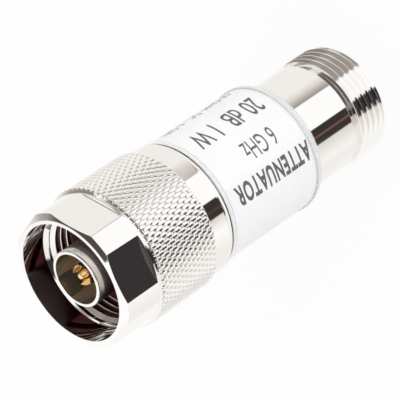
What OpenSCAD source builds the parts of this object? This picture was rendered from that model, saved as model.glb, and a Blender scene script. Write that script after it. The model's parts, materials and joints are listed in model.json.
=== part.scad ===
// Coaxial fixed attenuator: threaded plug at the top, threaded jack at the bottom, standing on the jack.
// All sizes in millimetres. The axis of the line is Z, and z = 0 is the end face of the jack.

/* [Stack from the jack's end upwards] */
// Length of the jack's threaded end
jack_thread_len = 5.3; // [4.5:0.05:8]
// Width of the relief between the thread and the barrel
jack_relief_len = 0.95; // [0.5:0.05:1.5]
// Length of the smooth barrel
barrel_len = 7.9; // [6:0.1:12]
// Length of the case
case_len = 17.6; // [14:0.25:30]
// Gap between the case and the nut
nut_gap = 0.65; // [0.6:0.05:1.5]
// Length of the coupling nut
nut_len = 20.1; // [18.5:0.05:26]

/* [Coaxial line] */
// Inside diameter of the outer conductor
line_bore_d = 7; // [6.5:0.05:7.4]
// Diameter of the centre conductor
line_pin_d = 3.04; // [2.6:0.02:3.4]
// Diameter of the insulating beads
bead_d = 8.4; // [8:0.1:9.5]
// Thickness of the insulating beads
bead_len = 2.5; // [1.5:0.1:3]
// Diameter of the centre conductor inside a bead
bead_neck_d = 2.2; // [1.8:0.05:2.5]
// Chamfer on the edges of the turned contacts
contact_chamfer = 0.15; // [0.05:0.01:0.2]

/* [Jack] */
// Outside diameter of the jack's thread, 24 turns to the inch
jack_thread_d = 15.88; // [15.5:0.02:16.4]
// Diameter of the thread relief
jack_relief_d = 14.4; // [13.6:0.1:15]
// Chamfer at the end of the thread
jack_chamfer = 0.45; // [0.2:0.05:0.7]
// Width of the barrel's seat under the case
barrel_seat = 0.46; // [0.3:0.02:0.7]
// Chamfer at the barrel's edge
barrel_chamfer = 0.2; // [0.05:0.05:0.4]
// Diameter of the jack's mouth
jack_mouth_d = 8.1; // [7.8:0.02:8.6]
// Depth of the jack's mouth
jack_mouth_depth = 9.1; // [8.5:0.05:10]
// Depth of the socket's tip below the jack's end
socket_recess = 4.25; // [4.15:0.05:5]
// Bore of the slotted socket
socket_bore_d = 1.7; // [1.6:0.02:1.9]
// Depth of the socket's bore
socket_bore_depth = 5; // [4.6:0.1:5.6]
// Width of the socket's slots
socket_slot_w = 0.3; // [0.2:0.05:0.5]
// Length of the socket's slots
socket_slot_len = 4.2; // [3:0.1:4.5]
// Number of fingers on the socket
socket_fingers = 4; // [2:2:6]
// Distance from the jack's mouth to its bead
jack_bead_offset = 1.5; // [0.8:0.1:2]

/* [Plug] */
// Depth of the outer contact below the nut's front
plug_contact_recess = 0.95; // [0.5:0.05:2]
// Outside diameter of the outer contact
plug_contact_d = 7.95; // [7.8:0.01:8]
// Length of the outer contact in front of the gasket
plug_contact_len = 9.15; // [8.5:0.05:9.8]
// Depth of the pin's tip below the outer contact
pin_recess = 0.7; // [0.2:0.05:1.2]
// Diameter of the thin end of the pin
pin_tip_d = 1.65; // [1.5:0.01:1.8]
// Length of the thin end of the pin
pin_tip_len = 4.7; // [4:0.1:5.5]
// Diameter of the flat at the pin's tip
pin_nose_d = 0.76; // [0.5:0.02:1]
// Length of the taper behind that flat
pin_nose_len = 1.1; // [0.6:0.1:1.6]
// Diameter of the plug's neck inside the nut
neck_d = 13.2; // [12.8:0.1:13.6]
// Distance from the gasket's seat to the plug's bead
plug_bead_offset = 1; // [0.5:0.1:2]
// Width of the collar's seat on the case
collar_seat = 0.8; // [0.4:0.05:1.1]
// Thickness of that collar
plug_collar_len = 0.25; // [0.15:0.05:0.35]
// Thickness of the gasket
gasket_thick = 1.5; // [1:0.1:2]
// Width of the gasket's ring
gasket_w = 3.4; // [2:0.1:3.4]

/* [Coupling nut] */
// Distance across the milled flats
nut_flats = 17.9; // [17.4:0.1:18.4]
// Diameter over the rounded corners between the flats
nut_corner_d = 19.15; // [18.8:0.05:19.5]
// Length of the milled flats
nut_flats_len = 5.8; // [4.5:0.1:7]
// Diameter of the front rim
nut_rim_d = 17.5; // [17:0.05:17.6]
// Length of the cone at the front
nut_cone_len = 0.35; // [0.3:0.05:1]
// Turn of the flats about the axis, in degrees
nut_turn = 11; // [0:1:59]
// Diameter over the knurl
knurl_d = 19.95; // [19.7:0.05:20.5]
// Length of the knurled band
knurl_len = 10.4; // [8:0.1:12]
// Number of diamonds round the knurl
knurl_count = 67; // [40:1:80]
// Rows of half diamonds along the knurl
knurl_rows = 14; // [8:2:20]
// Depth of the knurl's grooves
knurl_depth = 0.3; // [0.1:0.05:0.35]
// Width of the plain land between the knurl and the flats
land_len = 0.2; // [0.1:0.05:0.4]
// Diameter of the smooth rear band
nut_rear_d = 19; // [18.6:0.05:19.4]
// Rounding of the rear edge
nut_rear_round = 0.75; // [0.3:0.05:0.9]
// Diameter of the mouth in front of the thread
nut_mouth_d = 16.5; // [16.4:0.05:16.9]
// Depth of that mouth
nut_mouth_depth = 3.6; // [3:0.1:4.4]
// Diameter inside the nut's thread
nut_thread_d = 14.9; // [14.7:0.05:15.2]
// Length of the nut's thread
nut_thread_len = 3.6; // [3:0.1:6]
// Diameter of the relief behind the thread
nut_relief_d = 16.2; // [16:0.1:17]

/* [Nut retainer] */
// Distance from the gasket's seat to the groove
groove_offset = 1.6; // [1.2:0.1:2.4]
// Thickness of the retaining ring
ring_thick = 0.9; // [0.6:0.05:1.2]
// Inside diameter of the retaining ring
ring_bore_d = 11.8; // [11.4:0.1:12.2]
// Outside diameter of the retaining ring
ring_d = 14.6; // [14.4:0.1:15]
// Gap in the retaining ring
ring_gap = 2; // [1:0.1:4]
// Free travel of the nut along the axis
nut_float = 0.45; // [0.1:0.05:0.6]
// Gap between the nut's shoulder and the gasket at the end of that travel
gasket_gap = 0.4; // [0.3:0.05:0.6]

/* [Case] */
// Outside diameter of the case
case_d = 17.8; // [17.4:0.1:18.4]
// Wall of the case
case_wall = 1.5; // [1.4:0.05:1.8]
// Rounding of the case's lower edge
case_round = 1.35; // [0.5:0.05:1.45]
// Length of each end piece inside the case
spigot_len = 4; // [3.4:0.1:5]

/* [Attenuator element] */
// Width of the ceramic chip
chip_w = 5; // [4.4:0.1:5.6]
// Thickness of the ceramic chip
chip_thick = 0.64; // [0.4:0.02:0.8]
// Length of the chip beyond the carrier at each end
chip_overhang = 0.4; // [0.2:0.05:0.6]
// Width of the channel along the carrier
channel_w = 4.2; // [3.6:0.1:4.3]
// Height of the channel along the carrier
channel_h = 3.6; // [2.4:0.1:5]
// Thickness of the printed films
film_thick = 0.03; // [0.02:0.01:0.06]
// Length of the terminal at each end of the chip
terminal_len = 1.9; // [1.4:0.1:2.4]
// Width of the terminals
terminal_w = 1.8; // [1.4:0.1:2.2]
// Width of the resistor's through path
resistor_w = 1.2; // [0.8:0.1:1.6]
// Height of the resistor's arms to the ground strips
resistor_arm = 1.6; // [0.8:0.1:2.4]
// Diameter of the conductor's tail inside a spring contact
tail_d = 1.6; // [1.2:0.05:1.8]
// Length of that tail
tail_len = 1.5; // [1:0.1:2]
// Wall of the spring contact
spring_wall = 0.3; // [0.2:0.05:0.4]
// Thickness of the spring contact's leaves
leaf_thick = 0.2; // [0.1:0.05:0.3]
// Width of the spring contact's leaves
leaf_w = 1.2; // [0.8:0.1:1.3]
// Length of the leaves on the chip
leaf_grip = 1.2; // [0.8:0.1:1.4]

/* [Label and sleeve] */
// Thickness of the label
label_wall = 0.1; // [0.05:0.01:0.15]
// Bare width of the case above and below the label
label_margin = 0.1; // [0.1:0.05:1]
// Gap between the label's ends, in degrees
label_seam = 3; // [1:1:20]
// Wall of the clear sleeve
sleeve_wall = 0.2; // [0.12:0.02:0.3]
// Flare of the sleeve's upper lip
lip_flare = 0.14; // [0.04:0.02:0.24]
// Gap between the sleeve's lip and the nut
lip_gap = 0.1; // [0.05:0.05:0.4]
// Angle that the sleeve's lower edge wraps round the case
sleeve_wrap = 62; // [30:1:70]

/* [Fits] */
// Clearance all round between pieces that are pushed together
push_fit = 0.01; // [0.005:0.005:0.02]
// Clearance all round between the nut and the neck
nut_fit = 0.25; // [0.15:0.05:0.3]
// Clearance all round between the ring and the nut's groove
ring_fit = 0.1; // [0.05:0.01:0.15]
// Clearance at each end of a piece that runs in a groove
end_fit = 0.05; // [0.03:0.01:0.1]

/* [Hidden] */
$fn = 96;

// Over-run of every cut past the face that it opens
over = 1;

// Levels up the stack
relief_z = jack_thread_len;
barrel_z = relief_z + jack_relief_len;
case_z = barrel_z + barrel_len;
case_top = case_z + case_len;
nut_z = case_top + nut_gap;
nut_top = nut_z + nut_len;

// Diameters that follow the case
case_bore_d = case_d - 2 * case_wall;
barrel_d = case_bore_d + 2 * barrel_seat;
plug_collar_d = case_bore_d + 2 * collar_seat;

// Levels inside the jack
jack_bead_z = jack_mouth_depth + jack_bead_offset;
jack_spigot_z = case_z + spigot_len;

// Levels inside the plug
contact_top = nut_top - plug_contact_recess;
gasket_z = contact_top - plug_contact_len - gasket_thick;
plug_bead_z = gasket_z - plug_bead_offset - bead_len;
plug_spigot_z = case_top - spigot_len;

// Nut retainer: the ring lies at the lower end of its groove
groove_len = ring_thick + nut_float + 2 * end_fit;
groove_z = gasket_z - groove_offset - groove_len;
ring_z = groove_z + end_fit;
neck_groove_d = ring_bore_d - 2 * nut_fit;
nut_bore_d = neck_d + 2 * nut_fit;
nut_groove_d = ring_d + 2 * ring_fit;
nut_groove_len = ring_thick + 2 * end_fit;
nut_shoulder_z = gasket_z - nut_float - gasket_gap;
nut_thread_z = nut_top - nut_mouth_depth - (nut_mouth_d - nut_thread_d) / 2 - nut_thread_len;

knurl_top = nut_top - nut_flats_len - land_len;
knurl_z = knurl_top - knurl_len;

// Attenuator element
chip_z = jack_spigot_z - chip_overhang;
chip_top = plug_spigot_z + chip_overhang;
strip_w = (chip_w - channel_w) / 2;
spring_d = tail_d + 2 * push_fit + 2 * spring_wall;
spring_len = tail_len + push_fit + spring_wall;
input_step_z = chip_top + end_fit + spring_len;
output_step_z = chip_z - end_fit - spring_len;

// Skins round the case
label_r = case_d / 2 + push_fit;
sleeve_r = label_r + label_wall + push_fit;

nickel = [0.86, 0.84, 0.81];
gold = [0.86, 0.64, 0.28];
ptfe = [0.94, 0.94, 0.92];

// Ring between two levels
module ring(outer_d, inner_d, z, len) {
    translate([0, 0, z])
        difference() {
            cylinder(d = outer_d, h = len);
            translate([0, 0, -over])
                cylinder(d = inner_d, h = len + 2 * over);
        }
}

// Hole along the axis between two levels
module hole(d, z, len) {
    translate([0, 0, z])
        cylinder(d = d, h = len);
}

// Solid of revolution with the corners given as [radius, level]
module turned(corners) {
    rotate_extrude()
        polygon(corners);
}

// Points on an arc about a centre in the [radius, level] plane
function arc(c, r, from, to, steps) =
    [for (i = [0 : steps]) let (a = from + (to - from) * i / steps) c + r * [cos(a), sin(a)]];

// Two triangles between an edge and the edge across from it
function band(a, b, c, d) = [[a, b, c], [b, d, c]];

// Nut: outside of the milled part, its corners turned and its front edge coned
module nut_flats_form() {
    r = nut_corner_d / 2;
    z = nut_top - nut_flats_len;
    intersection() {
        turned([[0, z], [r, z], [r, nut_top - nut_cone_len], [nut_rim_d / 2, nut_top], [0, nut_top]]);
        translate([0, 0, z])
            rotate(nut_turn + 30)
                cylinder(d = nut_flats / cos(30), h = nut_flats_len, $fn = 6);
    }
}

// Nut: outside of the rear band, the bar under the knurl and the land, as one turned outline
// Its core reaches a little way into the flats
module nut_round_form() {
    r_land = nut_corner_d / 2;
    r_rear = nut_rear_d / 2;
    r_core = nut_flats / 2 - land_len;
    z_land = nut_top - nut_flats_len;
    rear_edge = arc([r_rear - nut_rear_round, nut_z + nut_rear_round], nut_rear_round, -90, 0, 12);
    turned(concat(
        [[0, nut_z]],
        rear_edge,
        [[r_rear, knurl_top - land_len], [r_land, knurl_top - land_len], [r_land, z_land],
         [r_core, z_land], [r_core, z_land + land_len], [0, z_land + land_len]]));
}

// Point on the knurl: half diamonds round it, rows up it, and a depth below its outside
function knurl_point(half, row, depth) =
    let (a = 180 * half / knurl_count, r = knurl_d / 2 - depth)
    [r * cos(a), r * sin(a), knurl_z + knurl_len * row / knurl_rows];

// Knurled band: the grooves cross at the corners of each diamond, and its middle rises to a low peak.
// Corners in odd rows lie half a diamond further round, and the end rows have flat half diamonds.
// Its inside lies below the bar that carries it.
module knurl_band() {
    n = knurl_count;
    k = knurl_rows;
    foot = max(knurl_d - nut_rear_d, 2 * knurl_depth) / 2 + 2 * knurl_depth;
    corners = [for (j = [0 : k], i = [0 : n - 1]) knurl_point(2 * i + j % 2, j, knurl_depth)];
    peaks = [for (j = [1 : k - 1], i = [0 : n - 1]) knurl_point(2 * i + 1 + j % 2, j, 0)];
    feet = [for (j = [0, k], i = [0 : n - 1]) knurl_point(2 * i, j, foot)];
    function corner(i, j) = j * n + i % n;
    function peak(i, j) = len(corners) + (j - 1) * n + i;
    function foot_at(i, end) = len(corners) + len(peaks) + end * n + i % n;
    diamonds = [for (j = [1 : k - 1], i = [0 : n - 1])
        let (top = peak(i, j), left = corner(i, j), right = corner(i + 1, j))
        let (up = corner(i + j % 2, j + 1), down = corner(i + j % 2, j - 1))
        each [[top, up, right], [top, right, down], [top, down, left], [top, left, up]]];
    lower = [for (i = [0 : n - 1]) [corner(i, 0), corner(i, 1), corner(i + 1, 0)]];
    upper = [for (i = [0 : n - 1]) [corner(i, k), corner(i + 1, k), corner(i, k - 1)]];
    bottom = [for (i = [0 : n - 1])
        each band(corner(i, 0), corner(i + 1, 0), foot_at(i, 0), foot_at(i + 1, 0))];
    top = [for (i = [0 : n - 1])
        each band(corner(i, k), foot_at(i, 1), corner(i + 1, k), foot_at(i + 1, 1))];
    inside = [for (i = [0 : n - 1])
        each band(foot_at(i, 0), foot_at(i + 1, 0), foot_at(i, 1), foot_at(i + 1, 1))];
    polyhedron(concat(corners, peaks, feet), concat(diamonds, lower, upper, bottom, top, inside));
}

// Nut: everything that is bored out, from the rear to the mouth
module nut_bores() {
    r_thread = nut_thread_d / 2;
    r_mouth = nut_mouth_d / 2;
    z_mouth = nut_top - nut_mouth_depth;
    z_cone = z_mouth - (r_mouth - r_thread);
    hole(nut_bore_d, nut_z - over, nut_shoulder_z - nut_z + 2 * over);
    hole(nut_groove_d, ring_z - end_fit, nut_groove_len);
    hole(nut_relief_d, nut_shoulder_z, nut_thread_z - nut_shoulder_z);
    hole(nut_thread_d, nut_thread_z - over, nut_thread_len + 2 * over);
    turned([[0, z_cone], [r_thread, z_cone], [r_mouth, z_mouth],
            [r_mouth, nut_top + over], [0, nut_top + over]]);
}

module coupling_nut() {
    color(nickel)
        difference() {
            union() {
                nut_flats_form();
                nut_round_form();
                knurl_band();
            }
            nut_bores();
        }
}

// Open spring ring that holds the nut on the plug
module nut_retaining_ring() {
    color([0.7, 0.55, 0.3])
        difference() {
            ring(ring_d, ring_bore_d, ring_z, ring_thick);
            translate([0, -ring_gap / 2, ring_z - over])
                cube([ring_d, ring_gap, ring_thick + 2 * over]);
        }
}

module plug_gasket() {
    bore = plug_contact_d + 2 * push_fit;
    color([0.42, 0.11, 0.08])
        ring(bore + 2 * gasket_w, bore, gasket_z, gasket_thick);
}

// Plug body: outer contact, neck with the ring's groove, collar on the case and spigot in the case
module plug_shell() {
    r_contact = plug_contact_d / 2;
    r_line = line_bore_d / 2;
    c = contact_chamfer;
    r_spigot = case_bore_d / 2 - push_fit;
    collar_top = case_top + plug_collar_len;
    color(nickel)
        difference() {
            turned([[0, plug_spigot_z], [r_spigot, plug_spigot_z], [r_spigot, case_top],
                    [plug_collar_d / 2, case_top], [plug_collar_d / 2, collar_top], [neck_d / 2, collar_top],
                    [neck_d / 2, groove_z], [neck_groove_d / 2, groove_z],
                    [neck_groove_d / 2, groove_z + groove_len], [neck_d / 2, groove_z + groove_len],
                    [neck_d / 2, gasket_z], [r_contact, gasket_z], [r_contact, contact_top - c],
                    [r_contact - c, contact_top], [0, contact_top]]);
            hole(line_bore_d, plug_spigot_z - over, contact_top - plug_spigot_z + 2 * over);
            hole(bead_d, plug_spigot_z - over, plug_bead_z + bead_len - plug_spigot_z + over);
        }
}

// Centre pin of the plug, necked where the bead holds it
module plug_pin() {
    r_tip = pin_tip_d / 2;
    r = line_pin_d / 2;
    c = contact_chamfer;
    tip_z = contact_top - pin_recess;
    step_z = tip_z - pin_tip_len;
    bead_top = plug_bead_z + bead_len;
    tail_z = input_step_z - tail_len;
    color(gold)
        turned([[0, tail_z], [tail_d / 2, tail_z], [tail_d / 2, input_step_z], [r, input_step_z],
                [r, plug_bead_z], [bead_neck_d / 2, plug_bead_z], [bead_neck_d / 2, bead_top], [r, bead_top],
                [r, step_z - c], [r - c, step_z], [r_tip, step_z], [r_tip, tip_z - pin_nose_len],
                [pin_nose_d / 2, tip_z], [0, tip_z]]);
}

module plug_bead() {
    color(ptfe)
        ring(bead_d - 2 * push_fit, bead_neck_d + 2 * push_fit, plug_bead_z, bead_len);
}

// Sleeve that clamps the plug's bead and carries the line on to the carrier
module plug_line_sleeve() {
    color([0.8, 0.66, 0.35])
        ring(bead_d - 2 * push_fit, line_bore_d, plug_spigot_z, plug_bead_z - plug_spigot_z);
}

module case_tube() {
    r = case_d / 2;
    edge = arc([r - case_round, case_z + case_round], case_round, -90, 0, 12);
    color([0.8, 0.8, 0.8])
        difference() {
            turned(concat([[0, case_z]], edge, [[r, case_top], [0, case_top]]));
            hole(case_bore_d, case_z - over, case_len + 2 * over);
        }
}

// Half of the chip carrier on the +Y side, with half of the channel and a ledge for the chip
module carrier_half(ledge) {
    carrier_len = plug_spigot_z - jack_spigot_z;
    r = case_bore_d / 2 - push_fit;
    slot_w = chip_w + 2 * push_fit;
    difference() {
        translate([0, 0, jack_spigot_z])
            cylinder(r = r, h = carrier_len);
        translate([-r - over, -2 * r, jack_spigot_z - over])
            cube([2 * (r + over), 2 * r, carrier_len + 2 * over]);
        translate([-channel_w / 2, -over, jack_spigot_z - over])
            cube([channel_w, channel_h / 2 + over, carrier_len + 2 * over]);
        translate([-slot_w / 2, -over, jack_spigot_z - over])
            cube([slot_w, ledge + over, carrier_len + 2 * over]);
    }
}

module carrier_front() {
    color([0.82, 0.68, 0.38])
        mirror([0, 1, 0])
            carrier_half(chip_thick / 2 + film_thick);
}

module carrier_back() {
    color([0.78, 0.64, 0.34])
        carrier_half(chip_thick / 2);
}

module attenuator_chip() {
    color([0.95, 0.95, 0.93])
        translate([-chip_w / 2, -chip_thick / 2, chip_z])
            cube([chip_w, chip_thick, chip_top - chip_z]);
}

// Film on the chip's front face, between two levels and two widths
module film(x, z, w, len) {
    translate([x, -chip_thick / 2 - film_thick, z])
        cube([w, film_thick, len]);
}

// Resistor: a through path between the terminals, crossed by an arm to the ground strips
module resistor_film() {
    path_z = chip_z + terminal_len;
    path_len = chip_top - chip_z - 2 * terminal_len;
    color([0.2, 0.2, 0.22])
        union() {
            film(-resistor_w / 2, path_z, resistor_w, path_len);
            film(-channel_w / 2, path_z + (path_len - resistor_arm) / 2, channel_w, resistor_arm);
        }
}

module chip_terminals() {
    color(gold)
        for (z = [chip_z, chip_top - terminal_len])
            film(-terminal_w / 2, z, terminal_w, terminal_len);
}

module ground_strips() {
    color(gold)
        for (x = [-chip_w / 2, channel_w / 2])
            film(x, chip_z, strip_w, chip_top - chip_z);
}

// Spring contact: a cup on the conductor's tail and two leaves that grip the chip, pointing up
module spring_contact() {
    front_y = -chip_thick / 2 - film_thick - leaf_thick;
    difference() {
        cylinder(d = spring_d, h = spring_len);
        translate([0, 0, -over])
            cylinder(d = tail_d + 2 * push_fit, h = tail_len + push_fit + over);
    }
    for (y = [front_y, chip_thick / 2])
        translate([-leaf_w / 2, y, spring_len - spring_wall])
            cube([leaf_w, leaf_thick, spring_wall + end_fit + leaf_grip]);
}

module input_spring() {
    color(gold)
        translate([0, 0, input_step_z])
            mirror([0, 0, 1])
                spring_contact();
}

module output_spring() {
    color(gold)
        translate([0, 0, output_step_z])
            spring_contact();
}

// Jack body: threaded end, relief, barrel that seats under the case and spigot in the case
module jack_shell() {
    r_thread = jack_thread_d / 2;
    r_relief = jack_relief_d / 2;
    r_barrel = barrel_d / 2;
    r_spigot = case_bore_d / 2 - push_fit;
    r_mouth = jack_mouth_d / 2;
    c = contact_chamfer;
    color(nickel)
        difference() {
            turned([[0, 0], [r_thread - jack_chamfer, 0], [r_thread, jack_chamfer], [r_thread, relief_z],
                    [r_relief, relief_z], [r_relief, barrel_z], [r_barrel - barrel_chamfer, barrel_z],
                    [r_barrel, barrel_z + barrel_chamfer], [r_barrel, case_z], [r_spigot, case_z],
                    [r_spigot, jack_spigot_z], [0, jack_spigot_z]]);
            turned([[0, -over], [r_mouth + c + over, -over], [r_mouth, c], [r_mouth, jack_mouth_depth],
                    [0, jack_mouth_depth]]);
            hole(line_bore_d, jack_mouth_depth - over, jack_spigot_z - jack_mouth_depth + 2 * over);
            hole(bead_d, jack_bead_z, jack_spigot_z - jack_bead_z + over);
        }
}

// Slotted socket of the jack, necked where the bead holds it
module jack_contact() {
    r = line_pin_d / 2;
    c = contact_chamfer;
    bead_top = jack_bead_z + bead_len;
    color(gold)
        difference() {
            turned([[0, socket_recess], [r - c, socket_recess], [r, socket_recess + c], [r, jack_bead_z],
                    [bead_neck_d / 2, jack_bead_z], [bead_neck_d / 2, bead_top], [r, bead_top],
                    [r, output_step_z], [tail_d / 2, output_step_z], [tail_d / 2, output_step_z + tail_len],
                    [0, output_step_z + tail_len]]);
            hole(socket_bore_d, socket_recess - over, socket_bore_depth + over);
            for (i = [0 : socket_fingers / 2 - 1])
                rotate(360 / socket_fingers * i)
                    translate([-r - over, -socket_slot_w / 2, socket_recess - over])
                        cube([2 * (r + over), socket_slot_w, socket_slot_len + over]);
        }
}

module jack_bead() {
    color(ptfe)
        ring(bead_d - 2 * push_fit, bead_neck_d + 2 * push_fit, jack_bead_z, bead_len);
}

// Sleeve that clamps the jack's bead and carries the line on to the carrier
module jack_line_sleeve() {
    z = jack_bead_z + bead_len;
    color([0.8, 0.66, 0.35])
        ring(bead_d - 2 * push_fit, line_bore_d, z, jack_spigot_z - z);
}

// Printed label wrapped round the case, its ends almost meeting at the back
module label() {
    z = case_z + case_round + label_margin;
    color([0.97, 0.97, 0.97])
        rotate(90 + label_seam / 2)
            rotate_extrude(angle = 360 - label_seam)
                translate([label_r, z])
                    square([label_wall, case_top - label_margin - z]);
}

// Clear sleeve shrunk over the label: flared lip above, lower edge drawn in round the case
module clear_sleeve() {
    turn = [case_d / 2 - case_round, case_z + case_round];
    r_in = sleeve_r - turn[0];
    outer = arc(turn, r_in + sleeve_wall, -sleeve_wrap, 0, 10);
    inner = arc(turn, r_in, 0, -sleeve_wrap, 10);
    lip_top = nut_z - lip_gap;
    color([0.9, 0.93, 0.95, 0.35])
        turned(concat(
            outer,
            [[sleeve_r + sleeve_wall, case_top], [sleeve_r + sleeve_wall + lip_flare, lip_top],
             [sleeve_r + lip_flare, lip_top], [sleeve_r, case_top]],
            inner));
}

coupling_nut();
nut_retaining_ring();
plug_gasket();
plug_shell();
plug_pin();
plug_bead();
plug_line_sleeve();
case_tube();
carrier_front();
carrier_back();
attenuator_chip();
resistor_film();
chip_terminals();
ground_strips();
input_spring();
output_spring();
jack_shell();
jack_contact();
jack_bead();
jack_line_sleeve();
label();
clear_sleeve();
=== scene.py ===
import json
import math

import bmesh
import bpy
import numpy as np
from mathutils import Matrix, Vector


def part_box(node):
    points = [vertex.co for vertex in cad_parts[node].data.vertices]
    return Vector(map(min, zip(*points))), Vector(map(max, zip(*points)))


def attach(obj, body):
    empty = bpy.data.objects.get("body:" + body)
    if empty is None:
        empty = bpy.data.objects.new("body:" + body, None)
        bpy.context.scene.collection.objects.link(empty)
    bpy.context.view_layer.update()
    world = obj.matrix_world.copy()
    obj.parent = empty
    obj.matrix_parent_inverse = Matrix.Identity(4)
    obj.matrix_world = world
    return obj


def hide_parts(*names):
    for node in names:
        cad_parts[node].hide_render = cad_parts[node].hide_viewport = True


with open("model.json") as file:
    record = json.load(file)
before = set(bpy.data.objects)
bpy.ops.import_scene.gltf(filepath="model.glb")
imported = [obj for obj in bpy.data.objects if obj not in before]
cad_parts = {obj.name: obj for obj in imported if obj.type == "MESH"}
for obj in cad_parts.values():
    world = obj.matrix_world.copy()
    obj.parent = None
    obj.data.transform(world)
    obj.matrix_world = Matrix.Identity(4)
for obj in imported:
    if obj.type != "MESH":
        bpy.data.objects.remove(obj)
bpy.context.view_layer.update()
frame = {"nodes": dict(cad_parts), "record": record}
mm = 0.001  # sizes below are in millimetres, the frame is in metres
print("frame loaded:", len(frame["nodes"]), "nodes")


def levels(node):
    # lowest and highest level of a solid, in millimetres
    low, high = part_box(node)
    return low.z / mm, high.z / mm


nutBottom, nutTop = levels("coupling_nut")
caseBottom, caseTop = levels("case_tube")
labelBottom, labelTop = levels("label")
sleeveTop = levels("clear_sleeve")[1]
jackBottom, jackTop = levels("jack_shell")
plugBottom, plugTop = levels("plug_shell")
pinBottom, pinTop = levels("plug_pin")
gasketBottom, gasketTop = levels("plug_gasket")
ringBottom, ringTop = levels("nut_retaining_ring")
jackBeadBottom = levels("jack_bead")[0]
plugBeadBottom, plugBeadTop = levels("plug_bead")


# Camera at the photograph's viewing angle: rolled, because the part stands on its jack
view = {
    "place": (-0.567, -320.11, 262.65),
    "right": (-0.56507, -0.48662, -0.66625),
    "up": (0.82504, -0.33329, -0.45631),
    "back": (0.0, -0.80754, 0.58982),
    "lens": 276.9,
    "sensor": 36,
}


def makeCamera():
    data = bpy.data.cameras.new("camera")
    data.lens = view["lens"]
    data.sensor_width = view["sensor"]
    camera = bpy.data.objects.new("camera", data)
    axes = np.array([view["right"], view["up"], view["back"]]).T
    place = np.array(view["place"])[:, None] * mm
    matrix = np.vstack([np.hstack([axes, place]), [0, 0, 0, 1]])
    camera.matrix_world = Matrix(matrix.tolist())
    bpy.context.scene.collection.objects.link(camera)
    bpy.context.scene.camera = camera


makeCamera()
print("camera placed")


# Shader maths: a wire carries one socket, and an expression on wires adds its Math nodes
class Wire:
    def __init__(self, tree, socket=None):
        self.tree = tree
        self.socket = socket

    def add(self, kind, settings=None, sockets=None, out=0):
        # any node: its settings first, then the values or wires of its sockets
        node = self.tree.nodes.new(kind)
        for key, value in (settings or {}).items():
            setattr(node, key, value)
        for key, value in (sockets or {}).items():
            if isinstance(value, Wire):
                self.tree.links.new(value.socket, node.inputs[key])
            else:
                node.inputs[key].default_value = value
        return Wire(self.tree, node.outputs[out] if len(node.outputs) else None)

    def math(self, operation, first, second=0.0):
        return self.add("ShaderNodeMath", {"operation": operation}, {0: first, 1: second})

    def __add__(self, other):
        return self.math("ADD", self, other)

    def __sub__(self, other):
        return self.math("SUBTRACT", self, other)

    def __rsub__(self, other):
        return self.math("SUBTRACT", other, self)

    def __mul__(self, other):
        return self.math("MULTIPLY", self, other)

    __radd__ = __add__
    __rmul__ = __mul__

    def __pow__(self, other):
        return self.math("POWER", self, other)

    def __gt__(self, other):
        return self.math("GREATER_THAN", self, other)

    def held(self):
        # kept between 0 and 1
        return self.math("MINIMUM", self.math("MAXIMUM", self, 0.0), 1.0)


def newMaterial(name):
    material = bpy.data.materials.new(name)
    material.use_nodes = True
    material.node_tree.nodes.clear()
    return material, Wire(material.node_tree)


def closeMaterial(wire, shader):
    wire.add("ShaderNodeOutputMaterial", None, {"Surface": shader})


def objectPoint(wire):
    # place on the piece in millimetres
    raw = wire.add("ShaderNodeTexCoord", None, None, "Object")
    return wire.add("ShaderNodeVectorMath", {"operation": "SCALE"}, {0: raw, "Scale": 1 / mm})


def noise(wire, vector, scale, detail, rough=0.5):
    return wire.add(
        "ShaderNodeTexNoise", {"noise_dimensions": "3D"},
        {"Vector": vector, "Scale": scale, "Detail": detail, "Roughness": rough})


def mixColour(wire, factor, first, second):
    first = first if isinstance(first, Wire) else (*first, 1)
    second = second if isinstance(second, Wire) else (*second, 1)
    return wire.add("ShaderNodeMix", {"data_type": "RGBA"}, {0: factor, 6: first, 7: second}, 2)


def bump(wire, height, strength, depth):
    return wire.add(
        "ShaderNodeBump", None, {"Height": height, "Strength": strength, "Distance": depth * mm})


def radiusAndLevel(wire, point):
    x, y, z = (wire.add("ShaderNodeSeparateXYZ", None, {0: point}, axis) for axis in "XYZ")
    return (x * x + y * y) ** 0.5, z


# Metals: noise scales are per millimetre, and "even" and "uneven" share out the roughness
metal = {
    "clouds": 0.35, "detail": 3.0, "lineRough": 0.6, "even": 0.7, "uneven": 0.6,
    "bump": 0.05, "depth": 0.004,
}
plating = {
    "colour": (0.97, 0.962, 0.952), "tint": (0.955, 0.945, 0.932), "rough": 0.035, "lines": 6.0,
}


def makeMetal(name, finish):
    # polished plate: faint tool lines round the axis, soft clouds of tint, and zones whose colour is a
    # painted reflection and shade in place of the plate's own, with roughness and metallic of their own,
    # each between two radii and two levels
    material, wire = newMaterial(name)
    point = objectPoint(wire)
    clouds = noise(wire, point, metal["clouds"], metal["detail"])
    radius, level = radiusAndLevel(wire, point)
    flat = wire.add("ShaderNodeCombineXYZ", None, {"X": radius, "Y": level})
    lines = noise(wire, flat, finish["lines"], metal["detail"], metal["lineRough"])
    colour = mixColour(wire, clouds, finish["colour"], finish["tint"])
    rough = finish["rough"] * (metal["even"] + metal["uneven"] * lines)
    metallic = 1.0
    for paintedZone in finish.get("paintedLightZones", []):
        inside = (radius > paintedZone["from"]) * (1 - (radius > paintedZone["to"]))
        inside = inside * (level > paintedZone["above"]) * (1 - (level > paintedZone["below"]))
        # painted reflection and shade: inside the zone its colour replaces the plate's
        colour = mixColour(wire, inside, colour, paintedZone["colour"])
        rough = rough + paintedZone["rough"] * inside
        metallic = metallic - (1 - paintedZone["metallic"]) * inside
    shader = wire.add("ShaderNodeBsdfPrincipled", None, {
        "Base Color": colour, "Metallic": metallic, "Roughness": rough,
        "Normal": bump(wire, lines, metal["bump"], metal["depth"])})
    closeMaterial(wire, shader)
    return material


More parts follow.
